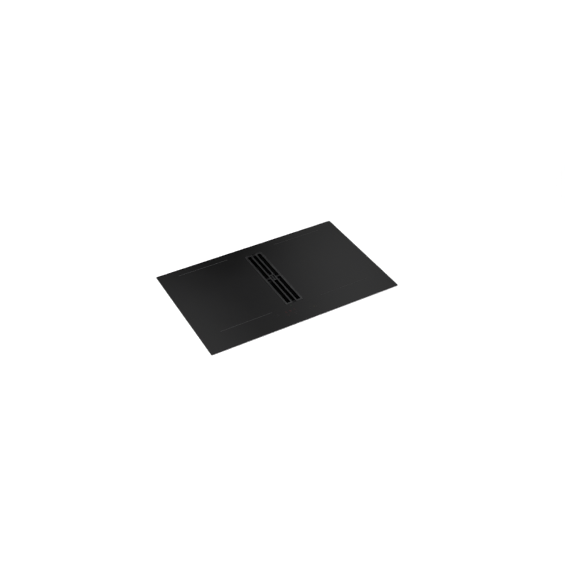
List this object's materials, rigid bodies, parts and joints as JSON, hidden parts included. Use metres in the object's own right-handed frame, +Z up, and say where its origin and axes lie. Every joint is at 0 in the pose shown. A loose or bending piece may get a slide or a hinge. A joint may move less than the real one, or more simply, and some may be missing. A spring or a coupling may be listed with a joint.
{
  "type": "downdraft induction cooktop",
  "caption": "Flush black glass induction cooktop with a central downdraft intake grille, lift-out grease filter, steel casing and an extractor blower below.",
  "frame": {"origin": "middle of the glass in plan, on the worktop surface that the rim seal rests on", "axes": "+X along the front edge to the right, +Y to the back, +Z up"},
  "size_m": [0.83, 0.52, 0.2105],
  "materials": {
    "black_glass": "polished black glass ceramic",
    "seal_foam": "closed-cell foam",
    "silicone": "cured adhesive",
    "sheet_steel": "zinc-coated sheet",
    "spring_steel": "bright strip",
    "screw_steel": "zinc-plated",
    "grille_metal": "satin anthracite coated casting",
    "inlay_black": "satin black",
    "pad_rubber": "moulded silicone",
    "black_plastic": "fine moulded texture",
    "duct_black": "soot-black moulded duct",
    "filter_steel": "black coated mesh and frame",
    "tray_steel": "black enamelled pressed sheet",
    "copper": "lacquered litz wire",
    "former_plastic": "heat-resistant moulding",
    "ferrite": "sintered ferrite",
    "mica": "pressed mica sheet",
    "aluminium": "mill finish",
    "circuit_board": "solder mask",
    "component_black": "moulded component bodies",
    "white_plastic": "moulded",
    "grey_plastic": "fine moulded texture",
    "magnet": "bonded magnet ring",
    "lead_sheath": "smooth sheath"
  },
  "bodies": {
    "appliance": {"glass_top": "black_glass", "worktop_seal": "seal_foam", "glass_bond": "silicone", "casing": "sheet_steel", "worktop_clips": "spring_steel", "casing_screws": "screw_steel", "inlet_chute": "duct_black", "air_gaskets": "seal_foam", "coil_winding_front_left": "copper", "coil_winding_back_left": "copper", "coil_winding_front_right": "copper", "coil_winding_back_right": "copper", "coil_tray_left": "aluminium", "coil_tray_right": "aluminium", "power_board_left": "circuit_board", "power_board_right": "circuit_board", "coil_formers": "former_plastic", "coil_ferrites": "ferrite", "mica_sheets": "mica", "temperature_sensors": "white_plastic", "tray_pillars": "black_plastic", "tray_springs": "spring_steel", "cooling_fan_housings": "black_plastic", "heat_sinks": "aluminium", "board_standoffs": "white_plastic", "mains_filter_board": "circuit_board", "board_components": "component_black", "touch_board_holder": "white_plastic", "touch_board": "circuit_board", "touch_pads": "component_black", "terminal_block": "white_plastic", "terminal_cover": "sheet_steel", "cable_gland": "black_plastic", "gland_cap": "black_plastic", "blower_cover": "grey_plastic", "scroll_housing": "grey_plastic", "bell_mouth": "black_plastic", "motor_bushes": "pad_rubber", "motor_base": "aluminium", "motor_bearings": "screw_steel", "motor_stator": "ferrite", "duct_collar": "black_plastic", "housing_screws": "screw_steel", "driver_box": "black_plastic", "driver_board": "circuit_board", "blower_lead": "lead_sheath"},
    "grille": {"intake_grille": "grille_metal", "grille_inlay": "inlay_black", "grille_pads": "pad_rubber"},
    "grease_filter": {"grease_filter_frame": "filter_steel", "grease_filter_mesh": "filter_steel", "grease_filter_grip": "black_plastic"},
    "tray": {"drip_tray": "tray_steel"},
    "blower_rotor": {"impeller": "black_plastic", "motor_rotor_cup": "sheet_steel", "motor_magnets": "magnet", "motor_shaft": "spring_steel"},
    "fan_rotor_left": {"cooling_fan_rotor_left": "black_plastic"},
    "fan_rotor_right": {"cooling_fan_rotor_right": "black_plastic"}
  },
  "joints": [
    {"name": "grille_lift", "type": "slide", "parent": "appliance", "child": "grille", "axis": [0, 0, 1], "range_m": [0, 0.24]},
    {"name": "filter_lift", "type": "slide", "parent": "appliance", "child": "grease_filter", "axis": [0, 0, 1], "range_m": [0, 0.144]},
    {"name": "tray_lift", "type": "slide", "parent": "appliance", "child": "tray", "axis": [0, 0, 1], "range_m": [0, 0.1008]},
    {"name": "blower_spin", "type": "hinge", "parent": "appliance", "child": "blower_rotor", "pos_m": [0, 0.0285, -0.17], "axis": [0, 0, 1], "continuous": true},
    {"name": "fan_spin_left", "type": "hinge", "parent": "appliance", "child": "fan_rotor_left", "pos_m": [-0.325, 0.06, -0.045], "axis": [0, 0, 1], "continuous": true},
    {"name": "fan_spin_right", "type": "hinge", "parent": "appliance", "child": "fan_rotor_right", "pos_m": [0.325, 0.06, -0.045], "axis": [0, 0, 1], "continuous": true}
  ],
  "couplings": [
    {"joint": "filter_lift", "follows": "grille_lift", "ratio": 0.6},
    {"joint": "tray_lift", "follows": "grille_lift", "ratio": 0.42}
  ]
}
